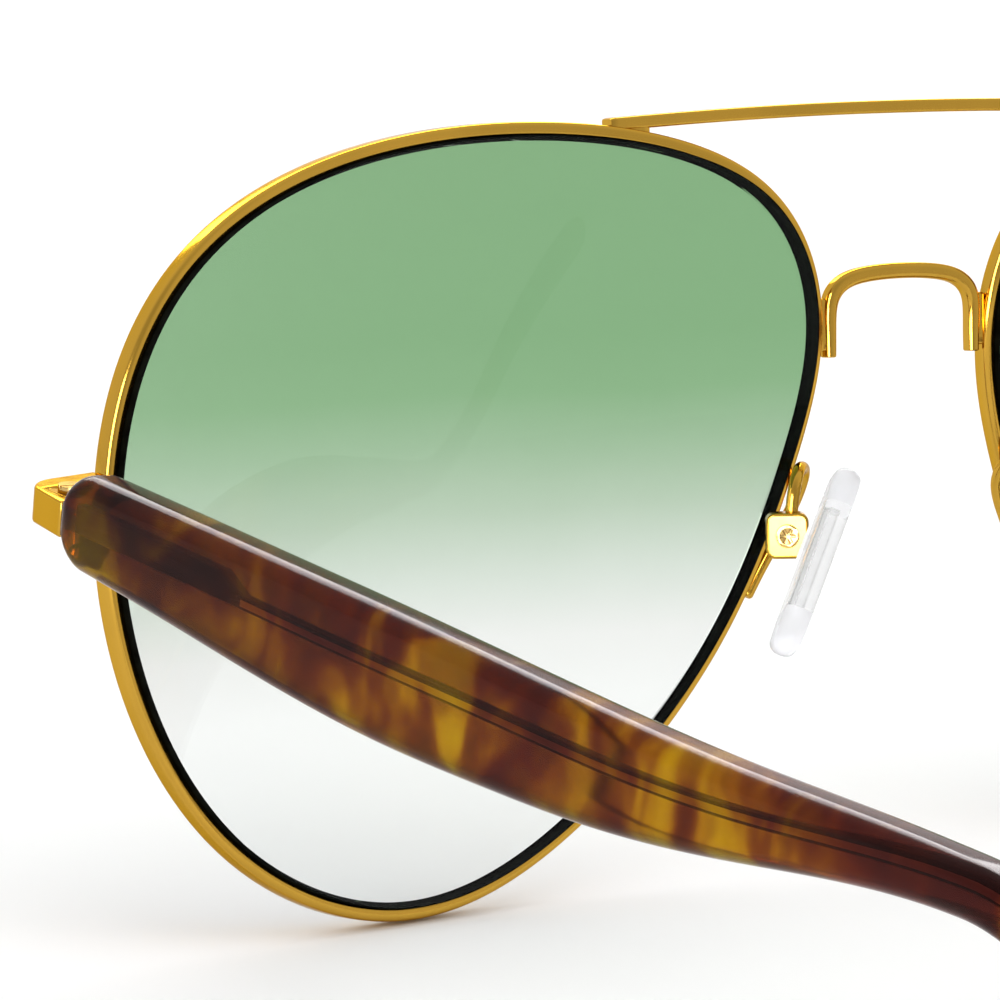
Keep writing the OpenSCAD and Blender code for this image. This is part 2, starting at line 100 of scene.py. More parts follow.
FOOT_FROM = 20.2
FOOT_TO = 23.1
FOOT_Y = -0.5
FOOT_HALF = 0.52
FOOT_SOFT = 0.03
FOOT_SINK = 0.12
FOOT_RINGS = 12
FOOT_END_SHRINK = 0.25

BRIDGE_PATH = [
    [5.84, -0.63, 9.18], [5.84, -0.62, 10.6], [5.9, -0.58, 12.1], [5.7, -0.52, 13.4],
    [4.55, -0.5, 14.35], [2.5, -0.5, 14.7], [0, -0.5, 14.8]]
BRIDGE_H = 1.05
BRIDGE_D = 1.1
BRIDGE_SOFT = 0.36
BRIDGE_RINGS = 240
BRIDGE_TRIM = 0.07
LEG_W = 0.85
TAB_X = (5.9, 6.8)
TAB_Y = (-0.98, -0.28)
TAB_Z = (9.6, 13.1)
TAB_SOFT = 0.16

# ---- measures of the pad arms and nose pads ----

ARM_PATH = [
    [11.75, -2.15, -6.5], [10.85, -2.1, -5], [9.85, -1.9, -3.4], [8.8, -1.6, -1.5], [8, -1.2, 0.3],
    [8.2, -0.1, 1.9], [9.5, 1.2, 2.2], [10.8, 2.6, 1.7], [11.45, 3, 0.3], [11.55, 3, -0.8]]
ARM_R = 0.42
ARM_RINGS = 150
ARM_END_SHARES = [0.72, 0.93, 1]
ARM_FACET = 18

BOX_AT = [11.94, 3, -2.16]
BOX_HALF = np.array([1.4, 1.5, 1.3])
BOX_CORNER = 0.6
BOX_SOFT = 0.2
BOX_STEPS = 8
# Opposite corners of what is cut from the pad box: its slot, and its side towards the pad.
SLOT_CUT = [[-2.05, -0.65, -4.95], [0.95, 0.65, 1.05]]
SLOT_SOFT = 0.05
SIDE_CUT = [[-4.05, -2.6, -3], [-1.05, 2.6, 3]]
SIDE_SOFT = 0.02

PAD_SPLAY = math.radians(33)
PAD_FRONTAL = math.radians(22)
PAD_ROLL = math.radians(14)
PAD_OFF = 2.35
PAD_SHIFT = (0.3, -1)
PAD_L = 13.2
PAD_W = 6.2
PAD_T = 1.8
PAD_END_R = 2.8
PAD_ROUND = 0.46
PAD_RINGS = 121
FROSTED_FROM = 3.7
FROSTED_TO = 3.9

# ---- measures of the temples ----

HINGE_Y = 6.6
SCREW_TOP = 5.2
TEMPLE_X = 69.9
TEMPLE_Y = 10
TEMPLE_TOP = 6.95
STRAIGHT_L = 94.5
EAR_BEND = math.radians(48)
TIP_DROP = 29.33
TIP_R = 24
TIP_TURN_IN = 4
ARC_L = TIP_R * EAR_BEND
DROP_L = (TIP_DROP - TIP_R * (1 - math.cos(EAR_BEND))) / math.sin(EAR_BEND)
TEMPLE_L = STRAIGHT_L + ARC_L + DROP_L

ACETATE_T = 3.5
HEIGHTS = [6, 6.75, 7.65, 8.2, 7.65, 7.05, 5.5, 3.95, 3.1, 3.4, 4.6, 5.8, 6.4]
RISES = [0.15, 0.05, -0.15, -0.3, -0.6, -0.9, -1, -0.6, -0.5, -1, -0.6, -0.4, -0.2]
FACE_ROUND = 1.25
FACE_ROUND_SHARE = 0.36
NOSE_R = 2.6
NOSE_FLAT = 0.35
NOSE_THIN = 0.45
NOSE_RINGS = 12
TIP_ROUND = 3.2
TIP_FLAT = 0.1
TIP_THIN = 0.6
TIP_THIN_L = 2.2
BODY_RINGS = 182
AXIS_STEP = 0.002

BLADE_L = 17.5
BLADE_H = 1.85
BLADE_STEP = 2.5
CORE_T = 1.1
CORE_H = 0.85
CORE_SOFT = 0.22
CORE_END = 0.93
CORE_TAPER = 0.5
CORE_TAPER_FROM = 0.7
CORE_IN = -0.55
CORE_IN_L = 30
CORE_LOW = [-1.15, -0.75, -0.25, 0, 0, -0.25, -0.5, -0.4, 0, -0.3, -0.4, -0.4, -0.4]
# Of the 20 columns of faces round the core, the flat ones that look sideways. Along the wire they get a pale
# painted reflection.
CORE_FLATS = (9, 19)

# The glasses are set on the ground by the CAD; its hinge screw gives that move back.
screw_low, screw_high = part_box("left_hinge_screw")[:2]
STAND = np.array([
    0, (screw_low.y + screw_high.y) / 2 / MM - HINGE_Y, screw_high.z / MM - SCREW_TOP])

# ---- curves ----


def weights(t):
    """Weights of the four points of a cubic B-spline's span."""
    return ((1 - t) ** 3 / 6, (3 * t ** 3 - 6 * t ** 2 + 4) / 6,
            (-3 * t ** 3 + 3 * t ** 2 + 3 * t + 1) / 6, t ** 3 / 6)


def slopes(t):
    return (-(1 - t) ** 2 / 2, (9 * t * t - 12 * t) / 6, (-9 * t * t + 6 * t + 3) / 6, t * t / 2)


def along(path, s, basis=weights):
    """Points (or slopes) of an open cubic B-spline at shares s, as an array one dimension deeper."""
    path = np.asarray(path, float)
    ends = np.concatenate([[2 * path[0] - path[1]], path, [2 * path[-1] - path[-2]]])
    x = np.clip(s, 0, 0.99999) * (len(path) - 1)
    i = np.floor(x).astype(int)
    parts = basis(x - i)
    if path.ndim == 1:
        return sum(w * ends[i + k] for k, w in enumerate(parts))
    return sum(w[..., None] * ends[i + k] for k, w in enumerate(parts))


def outline(turn, inset):
    """Points of the lens plane on the rim's outline at shares of a turn, moved inwards."""
    x = np.asarray(turn) % 1 * len(OUTLINE)
    i = np.floor(x).astype(int)
    spots = [OUTLINE[(i + k - 1) % len(OUTLINE)] for k in range(4)]
    p = sum(w[..., None] * c for w, c in zip(weights(x - i), spots))
    d = sum(w[..., None] * c for w, c in zip(slopes(x - i), spots))
    normal = np.stack([d[..., 1], -d[..., 0]], -1) / np.linalg.norm(d, axis=-1)[..., None]
    return p - np.asarray(inset)[..., None] * normal


def sag(p):
    """How far the lens's sphere lies behind its middle, above points of the lens plane."""
    return LENS_R - np.sqrt(LENS_R ** 2 - (p ** 2).sum(-1))


def on_front(p, depth):
    """Points of the left lens plane, at a depth behind it, in the front's frame."""
    u, v = p[..., 0], p[..., 1]
    c, s = math.cos(WRAP), math.sin(WRAP)
    return np.stack([u * c - depth * s + RIM_SPACING / 2, u * s + depth * c + RIM_SETBACK, v], -1)


def rim_top(x):
    """Height of the rim's outer edge above a place x of the front."""
    ring = on_front(outline(np.linspace(*UPPER_TURNS, 200), 0), 0)
    order = np.argsort(ring[:, 0])
    return np.interp(x, ring[order, 0], ring[order, 2])


def unit(v):
    return v / np.linalg.norm(v, axis=-1)[..., None]


def mirrored(path):
    """A path that ends on the middle plane, with its mirror image after it."""
    path = np.asarray(path, float)
    return np.concatenate([path, path[-2::-1] * [-1, 1, 1]])


def turned(points, axis, angle):
    return np.asarray(points) @ np.array(Matrix.Rotation(angle, 3, axis)).T


# ---- sections ----


def arc(cx, cy, r, start, stop, steps=5):
    a = np.radians(np.linspace(start, stop, steps + 1))
    return np.stack([cx + r * np.cos(a), cy + r * np.sin(a)], -1)


def round_box(a, b, r, steps=5):
    """Rounded rectangle of half sizes a and b, whose sizes may be arrays of one value a ring."""
    a, b, r = (v[:, None] for v in np.broadcast_arrays(*(np.atleast_1d(v) for v in (a, b, r))))
    corners = []
    for turn, (cx, cy) in enumerate([(1, 1), (-1, 1), (-1, -1), (1, -1)]):
        g = np.radians(90 * turn + np.linspace(0, 90, steps + 1))[None]
        corners.append(np.stack([cx * (a - r) + r * np.cos(g), cy * (b - r) + r * np.sin(g)], -1))
    return np.concatenate(corners, 1)


def upright(at, toward, section):
    """Sections along a path: their x is level and their y is upright."""
    d = unit(toward)
    x = unit(np.cross(d, [0, 0, 1]))
    z = np.cross(x, d)
    return at[:, None] + section[..., :1] * x[:, None] + section[..., 1:] * z[:, None]


def lifted(section, levels):
    """Flat sections, one a level, as rings."""
    heights = np.broadcast_to(levels[:, None, None], section.shape[:2] + (1,))
    return np.concatenate([section, heights], -1)


def at_ends(count):
    """1 for the first and last of a row of rings, and 0 between."""
    return np.isin(np.arange(count), (0, count - 1))


def end_share(length, r):
    """Share of its full size that a round end of radius r has at a distance from the end."""
    return np.sqrt(np.maximum(0.0001, 1 - np.clip((r - length) / r, 0, None) ** 2))


def block(low, high, soft, steps=4, corner=None):
    """Rings of an upright box with rounded edges. Its upright edges may have their own radius."""
    low, high = np.asarray(low, float), np.asarray(high, float)
    half = (high - low) / 2
    middle = (high + low) / 2
    g = np.radians(np.linspace(0, 90, steps + 1))
    inset = soft * (1 - np.sin(g))
    level = soft * (1 - np.cos(g))
    inset = np.concatenate([inset, inset[::-1]])
    level = np.concatenate([low[2] + level, high[2] - level[::-1]])
    radius = np.maximum((corner or soft) - inset, 0.02)
    return lifted(round_box(half[0] - inset, half[1] - inset, radius, steps) + middle[:2], level)


# ---- meshes ----


def stood(points, leaned, side=1):
    """Millimetres of the front's or the temples' frame to metres on the ground."""
    p = np.array(points, float)
    if leaned:
        c, s = math.cos(TILT), math.sin(TILT)
        p = np.stack([p[..., 0], p[..., 1] * c - p[..., 2] * s, p[..., 1] * s + p[..., 2] * c], -1)
    p = p + STAND
    p[..., 0] *= side
    return p * MM


def skin(name, shells, leaned, side=1, sharp=40):
    """One smooth mesh from shells; a shell is (rings, closed) with rings of equal length.

    Open shells are closed by a fan at each end. A third entry gives the materials of the faces,
    as an array that fits (bands, columns).
    """
    bm = bmesh.new()
    for rings, closed, *kinds in shells:
        rows = [[bm.verts.new(p) for p in ring] for ring in stood(rings, leaned, side)]
        bands = list(zip(rows, rows[1:] + rows[:1])) if closed else list(zip(rows, rows[1:]))
        kinds = np.broadcast_to(kinds[0] if kinds else 0, (len(bands), len(rows[0])))
        for k, (low, high) in enumerate(bands):
            for j in range(len(low)):
                n = (j + 1) % len(low)
                face = bm.faces.new((low[j], low[n], high[n], high[j]))
                face.material_index = int(kinds[k, j])
        if not closed:
            for row in (rows[0], rows[-1]):
                middle = bm.verts.new(sum((v.co for v in row), Vector()) / len(row))
                for j in range(len(row)):
                    bm.faces.new((row[j], row[(j + 1) % len(row)], middle))
    bmesh.ops.recalc_face_normals(bm, faces=bm.faces)
    mesh = bpy.data.meshes.new(name)
    bm.to_mesh(mesh)
    bm.free()
    mesh.shade_smooth()
    mesh.set_sharp_from_angle(angle=math.radians(sharp))
    obj = bpy.data.objects.new(name, mesh)
    bpy.context.scene.collection.objects.link(obj)
    return obj


# ---- rims and lenses ----


def rim(side):
    outer, inner, half = RIM_SOFT, RIM_INNER_SOFT, RIM_D / 2
    section = np.concatenate([
        arc(outer, outer - half, outer, 270, 180),
        arc(outer, half - outer, outer, 180, 90),
        arc(RIM_T - inner, half - inner, inner, 90, 0, 3),
        [[RIM_T, GROOVE_HALF], [GROOVE_INSET, 0], [RIM_T, -GROOVE_HALF]],
        arc(RIM_T - inner, inner - half, inner, 0, -90, 3)])
    turns = SPLIT_AT + np.linspace(SPLIT_HALF, 1 - SPLIT_HALF, RIM_RINGS)[:, None]
    depth = sag(outline(turns, LENS_INSET)) + SEAT + section[:, 1]
    rings = on_front(outline(turns, section[:, 0]), depth)
    return skin(f"{side}_rim_wire", [(rings, False)], True, SIDES[side])


def lens(side):
    turns = np.arange(LENS_STEPS) / LENS_STEPS
    edge = outline(turns, LENS_INSET)
    back = LENS_FRONT + LENS_T

    def ring(share, depth, trim=0):
        """A smaller copy of the edge on the sphere. Only the full one is trimmed."""
        spots = share * edge * (1 - (share == 1) * trim / LENS_HALF)
        return on_front(spots, sag(spots) + SEAT + depth)

    front = [ring(share, LENS_FRONT, CHAMFER) for share in LENS_SHARES]
    front.append(ring(1, LENS_FRONT + CHAMFER))
    wall = [
        ring(1, BEVEL_GAP - GROOVE_HALF),
        on_front(outline(turns, BEVEL_INSET), sag(edge) + SEAT),
        ring(1, GROOVE_HALF - BEVEL_GAP),
        ring(1, back - CHAMFER / 2)]
    rear = [ring(share, back, CHAMFER) for share in LENS_SHARES[::-1]]
    # The edge wall takes the near-black painted shade.
    kinds = [GLASS] * len(front) + [EDGE] * len(wall) + [GLASS] * (len(rear) - 1)
    shell = (np.array(front + wall + rear), False, np.array(kinds)[:, None])
    return skin(f"{side}_lens_glass", [shell], True, SIDES[side], 20)


# ---- bridges ----


def bridge():
    s = np.linspace(0, 1, BRIDGE_RINGS)
    line = mirrored(BRIDGE_PATH)
    at = along(line, s)
    out = np.cross([0, 1, 0], unit(along(line, s, slopes)))
    width = LEG_W + (BRIDGE_H - LEG_W) * np.minimum(1, 2 * (1 - np.abs(2 * s - 1)))
    trim = BRIDGE_TRIM * at_ends(len(s))
    section = round_box(width / 2 - trim, BRIDGE_D / 2 - trim, BRIDGE_SOFT - trim, 7)
    wire = at[:, None] + section[..., :1] * out[:, None] + section[..., 1:] * np.array([0, 1, 0])
    low, high = np.transpose([TAB_X, TAB_Y, TAB_Z])
    left_tab = block(low, high, TAB_SOFT)
    right_tab = block([-high[0], low[1], low[2]], [-low[0], high[1], high[2]], TAB_SOFT)
    return skin("bridge_wire", [(rings, False) for rings in (wire, left_tab, right_tab)], True)


def brow_bar():
    s = np.linspace(0, 1, BAR_RINGS)
    line = mirrored(np.asarray(BAR_PATH)[::-1])
    trim = BAR_TRIM * at_ends(len(s))
    section = round_box(BAR_D / 2 - trim, BAR_H / 2 - trim, BAR_SOFT, 5)
    shells = [(upright(along(line, s), along(line, s, slopes), section), False)]
    x = np.linspace(FOOT_FROM, FOOT_TO, FOOT_RINGS)
    bar_x, _, bar_z = np.transpose(BAR_PATH)
    low = rim_top(x) - FOOT_SINK
    high = np.interp(x, bar_x, bar_z) - BAR_H / 2 + FOOT_SINK
    shrink = 1 - FOOT_END_SHRINK * at_ends(FOOT_RINGS)
    foot = round_box(FOOT_HALF * shrink, np.maximum(high - low, 0.1) / 2, FOOT_SOFT, 3)
    for sign in SIDES.values():
        at = np.stack([sign * x, np.full(FOOT_RINGS, FOOT_Y), (low + high) / 2], -1)
        shells.append((upright(at, np.broadcast_to([1.0, 0, 0], at.shape), foot), False))
    return skin("brow_bar_wire", shells, True)


# ---- temples ----


def mid_line(length):
    """How far back, and how high, the temple's line is at a length along it."""
    bent = np.clip((length - STRAIGHT_L) / TIP_R, 0, EAR_BEND)
    past = np.maximum(length - STRAIGHT_L - ARC_L, 0)
    run = np.minimum(length, STRAIGHT_L) + TIP_R * np.sin(bent) + past * math.cos(EAR_BEND)
    drop = TIP_R * (1 - np.cos(bent)) + past * math.sin(EAR_BEND)
    return run, -drop


def temple_axis(s):
    run, rise = mid_line(s * TEMPLE_L)
    turn_in = TIP_TURN_IN * np.clip((s * TEMPLE_L - STRAIGHT_L) / (TEMPLE_L - STRAIGHT_L), 0, None) ** 2
    half = along(HEIGHTS, np.minimum(s, STRAIGHT_L / TEMPLE_L)) / 2
    return np.stack([
        TEMPLE_X - turn_in, TEMPLE_Y + run, TEMPLE_TOP + along(RISES, s) - half + rise], -1)


def temple_dir(s):
    return temple_axis(s + AXIS_STEP) - temple_axis(s - AXIS_STEP)


def temple(side):
    nose = NOSE_R * (1 - np.cos(np.radians(np.linspace(0, 90, NOSE_RINGS)))) / TEMPLE_L
    s = np.concatenate([nose, np.linspace(nose[-1], 1 - nose[-1], BODY_RINGS)[1:-1], 1 - nose[::-1]])
    from_nose = s * TEMPLE_L + NOSE_FLAT
    to_tip = TEMPLE_L - s * TEMPLE_L + TIP_FLAT
    height = along(HEIGHTS, s) * end_share(from_nose, NOSE_R) * end_share(to_tip, TIP_ROUND)
    thick = ACETATE_T * (1 - NOSE_THIN * (1 - end_share(from_nose, FACE_ROUND)))
    thick = thick * (1 - TIP_THIN * (1 - end_share(to_tip, TIP_THIN_L)))
    r = np.minimum(FACE_ROUND, FACE_ROUND_SHARE * np.minimum(thick, height))
    rings = upright(temple_axis(s), temple_dir(s), round_box(thick / 2, height / 2, r, 8))
    return skin(f"{side}_temple_acetate", [(rings, False)], False, SIDES[side], 60)


def temple_core(side):
    """A flat blade at the hinge that narrows to a wire. The wire's flat sides are a face apart, with a pale
    painted reflection on them.
    """
    wire_from = BLADE_L + BLADE_STEP
    s = np.concatenate([
        np.linspace(0, BLADE_L, 12),
        np.linspace(BLADE_L, wire_from, 8)[1:],
        np.linspace(wire_from, CORE_END * TEMPLE_L, 90)[1:]]) / TEMPLE_L
    taper = 1 - CORE_TAPER * np.maximum(0, (s - CORE_TAPER_FROM) / (1 - CORE_TAPER_FROM))
    step = np.clip((s * TEMPLE_L - BLADE_L) / BLADE_STEP, 0, 1)
    half = (BLADE_H + (CORE_H - BLADE_H) * step) / 2 * taper
    at = temple_axis(s)
    at[:, 0] += CORE_IN * (1 - np.minimum(1, s * TEMPLE_L / CORE_IN_L))
    section = round_box(CORE_T / 2, half, CORE_SOFT, 4)
    section = section + np.stack([0 * s, along(CORE_LOW, s) + half], -1)[:, None]
    flat = np.isin(np.arange(section.shape[1]), CORE_FLATS)
    # Along the wire, the flat sides get the pale painted reflection.
    kinds = (s[1:, None] * TEMPLE_L > wire_from) * flat
    rings = upright(at, temple_dir(s), section)
    return skin(f"{side}_core_wire", [(rings, False, kinds)], False, SIDES[side])


# ---- nose pads ----


def pad_arm(side):
    s = np.linspace(0, 1, ARM_RINGS)
    at = along(ARM_PATH, s)
    toward = along(ARM_PATH, s, slopes)
    x = unit(np.cross(toward, [math.sin(PAD_SPLAY), math.cos(PAD_SPLAY), 0]))
    y = np.cross(unit(toward), x)
    to_end = np.minimum(np.arange(ARM_RINGS), np.arange(ARM_RINGS)[::-1])
    r = ARM_R * np.interp(to_end, range(len(ARM_END_SHARES)), ARM_END_SHARES)[:, None, None]
    g = np.radians(np.arange(0, 360, ARM_FACET))[None, :, None]
    rings = at[:, None] + r * (np.cos(g) * x[:, None] + np.sin(g) * y[:, None])
    return skin(f"{side}_pad_wire", [(rings, False)], True, SIDES[side])


def box_place(points):
    return turned(points, "Z", -PAD_SPLAY) + BOX_AT


def pad_place(points):
    p = turned(points, "X", PAD_ROLL) + [-PAD_OFF, *PAD_SHIFT]
    return box_place(turned(p, "Y", -PAD_FRONTAL))


def pad_box(side):
    """Rounded box, open below and towards the pad, whose side is cut off square to the pad."""
    lying = block(-BOX_HALF, BOX_HALF, BOX_SOFT, BOX_STEPS, BOX_CORNER)
    body = lying[..., [0, 2, 1]]
    slot = block(*SLOT_CUT, SLOT_SOFT)
    pad_side = turned(block(*SIDE_CUT, SIDE_SOFT), "Y", -PAD_FRONTAL)
    box = skin(f"{side}_pad_housing", [(box_place(body), False)], True, SIDES[side])
    for k, rings in enumerate((slot, pad_side)):
        cut = box.modifiers.new("cut", "BOOLEAN")
        cut.object = skin(f"{side}_cutter_{k}", [(box_place(rings), False)], True, SIDES[side])
        cut.operation = "DIFFERENCE"
        cut.solver = "EXACT"
    shape = bpy.data.meshes.new_from_object(box.evaluated_get(bpy.context.evaluated_depsgraph_get()))
    for modifier in list(box.modifiers):
        bpy.data.objects.remove(modifier.object)
        box.modifiers.remove(modifier)
    shape.shade_flat()
    box.data = shape
    return box


def nose_pad(side):
    level = PAD_L / 2 * np.sin(np.radians(np.linspace(-88, 88, PAD_RINGS)))
    to_end = PAD_L / 2 - np.abs(level)
    width = PAD_W * end_share(to_end, PAD_END_R)
    thick = PAD_T * end_share(to_end, PAD_T / 2)
    section = round_box(thick / 2, width / 2, PAD_ROUND * np.minimum(thick, width), 7)
    rings = pad_place(lifted(section, level))
    return skin(f"{side}_pad_soft", [(rings, False)], True, SIDES[side], 70)


# ---- materials ----

GOLD_COLOUR = (0.58, 0.33, 0.045)
GOLD_EDGE = (0.75, 0.60, 0.40)
SCREW_COLOUR = (0.60, 0.40, 0.14)

# Colour of the lens from its foot to its top, by share of the height LENS_LOW to LENS_HIGH.
LENS_LOW = -26
LENS_HIGH = 26
LENS_GLARE = (0.08, 0.085, 0.08)
LENS_TINT = [
    (0.0, (0.90, 0.92, 0.915)), (0.26, (0.87, 0.885, 0.875)), (0.34, (0.80, 0.815, 0.795)),
    (0.42, (0.63, 0.70, 0.63)), (0.50, (0.455, 0.57, 0.445)), (0.58, (0.325, 0.48, 0.315)),
    (0.65, (0.235, 0.415, 0.223)), (0.72, (0.215, 0.395, 0.203)), (1.0, (0.213, 0.392, 0.200))]
# The lens's edge wall is near-black: painted shade for the dark band the lens shows at its rim. The mottle
# between these two colours is random.
EDGE_DARK = (0.003, 0.003, 0.003)
EDGE_LIGHT = (0.010, 0.012, 0.010)

ACETATE_SHEEN = (1.0, 0.85, 0.8)
TORTOISE = [
    (0.40, (0.055, 0.007, 0.005)), (0.48, (0.100, 0.013, 0.005)), (0.54, (0.200, 0.048, 0.003)),
    (0.60, (0.400, 0.170, 0.002)), (0.72, (0.540, 0.310, 0.002))]
# The pattern's offset, and where along the temple it is the most amber and how far that reaches.
PATTERN_SHIFT = (0.05, -0.031, 0.07)
PATTERN_SCALE = (1.0, 0.85, 0.7)
AMBER_AT = -0.012
AMBER_REACH = 0.045

DRAWN_SCALE = (1.0, 0.05, 1.0)
SILICONE_CLEAR = (0.90, 0.90, 0.905)
SILICONE_FROSTED = (0.84, 0.84, 0.865)


class Look:
    """A material whose nodes are added one after another."""

    def __init__(self, name, **values):
        self.material = bpy.data.materials.new(name)
        self.material.use_nodes = True
        self.nodes = self.material.node_tree.nodes
        self.links = self.material.node_tree.links
        self.shader = next(n for n in self.nodes if n.type == "BSDF_PRINCIPLED")
        for key, value in values.items():
            self.fix(key.replace("_", " "), value)
        self.place = self.nodes.new("ShaderNodeTexCoord").outputs["Object"]

    def fix(self, socket, value):
        self.shader.inputs[socket].default_value = value

    def set(self, socket, value):
        self.links.new(value, self.shader.inputs[socket])

    def node(self, kind, inputs=(), **settings):
        n = self.nodes.new("ShaderNode" + kind)
        for key, value in settings.items():
            setattr(n, key, value)
        for key, value in dict(inputs).items():
            if isinstance(value, bpy.types.NodeSocket):
                self.links.new(value, n.inputs[key])
            else:
                n.inputs[key].default_value = value
        return n

    def mapped(self, scale, shift=(0, 0, 0)):
        wanted = {"Vector": self.place, "Location": shift, "Scale": scale}
        return self.node("Mapping", wanted).outputs["Vector"]

    def noise(self, scale, detail=3, place=None, **inputs):
        wanted = {"Vector": place or self.place, "Scale": scale, "Detail": detail, **inputs}
        return self.node("TexNoise", wanted).outputs["Fac"]

    def ramp(self, factor, stops):
        n = self.node("ValToRGB", {"Fac": factor})
        while len(n.color_ramp.elements) < len(stops):
            n.color_ramp.elements.new(1)
        for element, (at, colour) in zip(n.color_ramp.elements, stops):
            element.position = at
            element.color = (*colour, 1)
        return n.outputs["Color"]

    def range(self, value, low, high, out_low, out_high):
        wanted = {"Value": value, "From Min": low, "From Max": high, "To Min": out_low, "To Max": out_high}
        return self.node("MapRange", wanted).outputs["Result"]

    def math(self, operation, a, b=0.0):
        return self.node("Math", {0: a, 1: b}, operation=operation).outputs["Value"]

    def distance(self, origin, axis):
        """The place's distance from an origin along an axis. An axis of length 1 / MM gives millimetres."""
        moved = self.node("VectorMath", {0: self.place, 1: tuple(-origin)}, operation="ADD")
        wanted = {0: moved.outputs["Vector"], 1: tuple(axis)}
        return self.node("VectorMath", wanted, operation="DOT_PRODUCT").outputs["Value"]

    def mix(self, factor, a, b):
        n = self.node("Mix", data_type="RGBA")
        factor_in, a_in, b_in = n.inputs[0], n.inputs[6], n.inputs[7]
        self.links.new(factor, factor_in)
        a_in.default_value = (*a, 1)
        b_in.default_value = (*b, 1)
        return n.outputs[2]

    def bump(self, height, strength, distance):
        wanted = {"Height": height, "Strength": strength, "Distance": distance}
        self.set("Normal", self.node("Bump", wanted).outputs["Normal"])

    def mottle(self, grain, dark, light, smooth, rough, full=0.7):
        """Colour and roughness that vary with one noise."""
        self.set("Base Color", self.ramp(grain, [(0.3, dark), (full, light)]))
        self.set("Roughness", self.range(grain, 0.3, 0.7, smooth, rough))


def gold_look(name, colour, rough, blemish):
    look = Look(name, Metallic=1.0)
    look.fix("Specular Tint", (*GOLD_EDGE, 1))
    fine = look.noise(1400, 4)
    broad = look.noise(160, 2)
    darker = tuple(0.93 * c for c in colour)
    look.set("Base Color", look.mix(look.range(broad, 0.35, 0.65, 0, 1), darker, colour))
    look.set("Roughness", look.range(fine, 0.3, 0.7, rough, rough + blemish))
    look.bump(fine, 0.05, 0.00002)
    return look.material


def lens_look():
    look = Look("gradient_glass", Roughness=0.0, IOR=1.8, Transmission_Weight=1.0)
    look.fix("Specular Tint", (*LENS_GLARE, 1))
    up = np.array([0, -math.sin(TILT), math.cos(TILT)])
    height = look.distance(STAND * MM, up / MM)
    uneven = look.range(look.noise(60, 2), 0.3, 0.7, -0.4, 0.4)
    share = look.range(look.math("ADD", height, uneven), LENS_LOW, LENS_HIGH, 0, 1)
    look.set("Base Color", look.ramp(share, LENS_TINT))
    return look.material


def edge_look():
    # Near-black painted shade on the lens's edge wall.
    look = Look("lens_edge_painted_shade", Specular_IOR_Level=0.0, IOR=1.5)
    look.mottle(look.noise(900), EDGE_DARK, EDGE_LIGHT, 0.8, 1.0, full=0.8)
    return look.material


def acetate_look():
    look = Look("tortoise_acetate", IOR=1.1, Transmission_Weight=0.85, Sheen_Weight=0.2, Sheen_Roughness=0.3)
    look.fix("Sheen Tint", (*ACETATE_SHEEN, 1))
    place = look.mapped(PATTERN_SCALE, PATTERN_SHIFT)
    patches = look.noise(135, 2, place, Distortion=0.8)
    streaks = look.range(look.noise(380, 1, place, Distortion=1.0), 0, 1, -0.03, 0.03)
    run = look.node("SeparateXYZ", {"Vector": look.place}).outputs["Y"]
    away = look.math("ABSOLUTE", look.math("ADD", run, -AMBER_AT))
    bias = look.range(away, 0.0, AMBER_REACH, 0.06, -0.03)
    mixed = look.math("ADD", look.math("ADD", patches, bias), streaks)
    look.set("Base Color", look.ramp(mixed, TORTOISE))
    broad = look.noise(260, 2)
    look.set("Roughness", look.range(broad, 0.3, 0.7, 0.09, 0.13))
    look.bump(broad, 0.02, 0.0001)
    return look.material


def core_look():
    look = Look("core_metal", Metallic=1.0)
    drawn = look.noise(2500, 3, look.mapped(DRAWN_SCALE))
    look.mottle(drawn, (0.07, 0.06, 0.06), (0.12, 0.10, 0.10), 0.25, 0.45)
    return look.material


def painted_reflection_look():
    """Pale painted reflection: the amber round the wire's flat sides, which they would mirror, painted in as
    their colour.
    """
    look = Look("core_painted_reflection", Specular_IOR_Level=0.2)
    drawn = look.noise(2500, 3, look.mapped(DRAWN_SCALE))
    look.mottle(drawn, (0.80, 0.74, 0.68), (0.93, 0.90, 0.86), 0.35, 0.5)
    return look.material


def silicone_look(side):
    """Clear in the middle of the pad and frosted at its two ends."""
    look = Look(f"{side}_pad_silicone", IOR=1.2, Transmission_Weight=0.9)
    middle = stood(pad_place(np.zeros((1, 3))), True, SIDES[side])[0]
    above = stood(pad_place(np.array([[0, 0, 1.0]])), True, SIDES[side])[0]
    far = look.math("ABSOLUTE", look.distance(middle, (above - middle) / MM / MM))
    cloud = look.noise(500)
    wavy = look.math("ADD", far, look.range(cloud, 0, 1, -0.15, 0.15))
    frosted = look.range(wavy, FROSTED_FROM, FROSTED_TO, 0, 1)
    look.set("Base Color", look.mix(frosted, SILICONE_CLEAR, SILICONE_FROSTED))
    look.set("Roughness", look.range(frosted, 0, 1, 0.2, 0.5))
    look.bump(cloud, 0.1, 0.00005)
    return look.material


def plate_look():
    look = Look("pad_plate", IOR=1.08, Transmission_Weight=0.95)
    look.mottle(look.noise(700), (0.90, 0.90, 0.91), (0.97, 0.97, 0.97), 0.08, 0.16)
    return look.material


def floor_look():
    look = Look("pale_floor", Roughness=0.9, Specular_IOR_Level=0.1)
    look.set("Base Color", look.ramp(look.noise(90), [(0.3, (0.945,) * 3), (0.7, (0.95,) * 3)]))
    return look.material


GOLD = gold_look("polished_gold", GOLD_COLOUR, 0.10, 0.06)
SCREW = gold_look("screw_gold", SCREW_COLOUR, 0.14, 0.1)
LENS = lens_look()
LENS_EDGE_SHADE = edge_look()
ACETATE = acetate_look()
CORE = core_look()
# Pale painted reflection for the flat sides of the core wire.
CORE_PAINTED_REFLECTION = painted_reflection_look()
PLATE = plate_look()

# ---- pieces ----

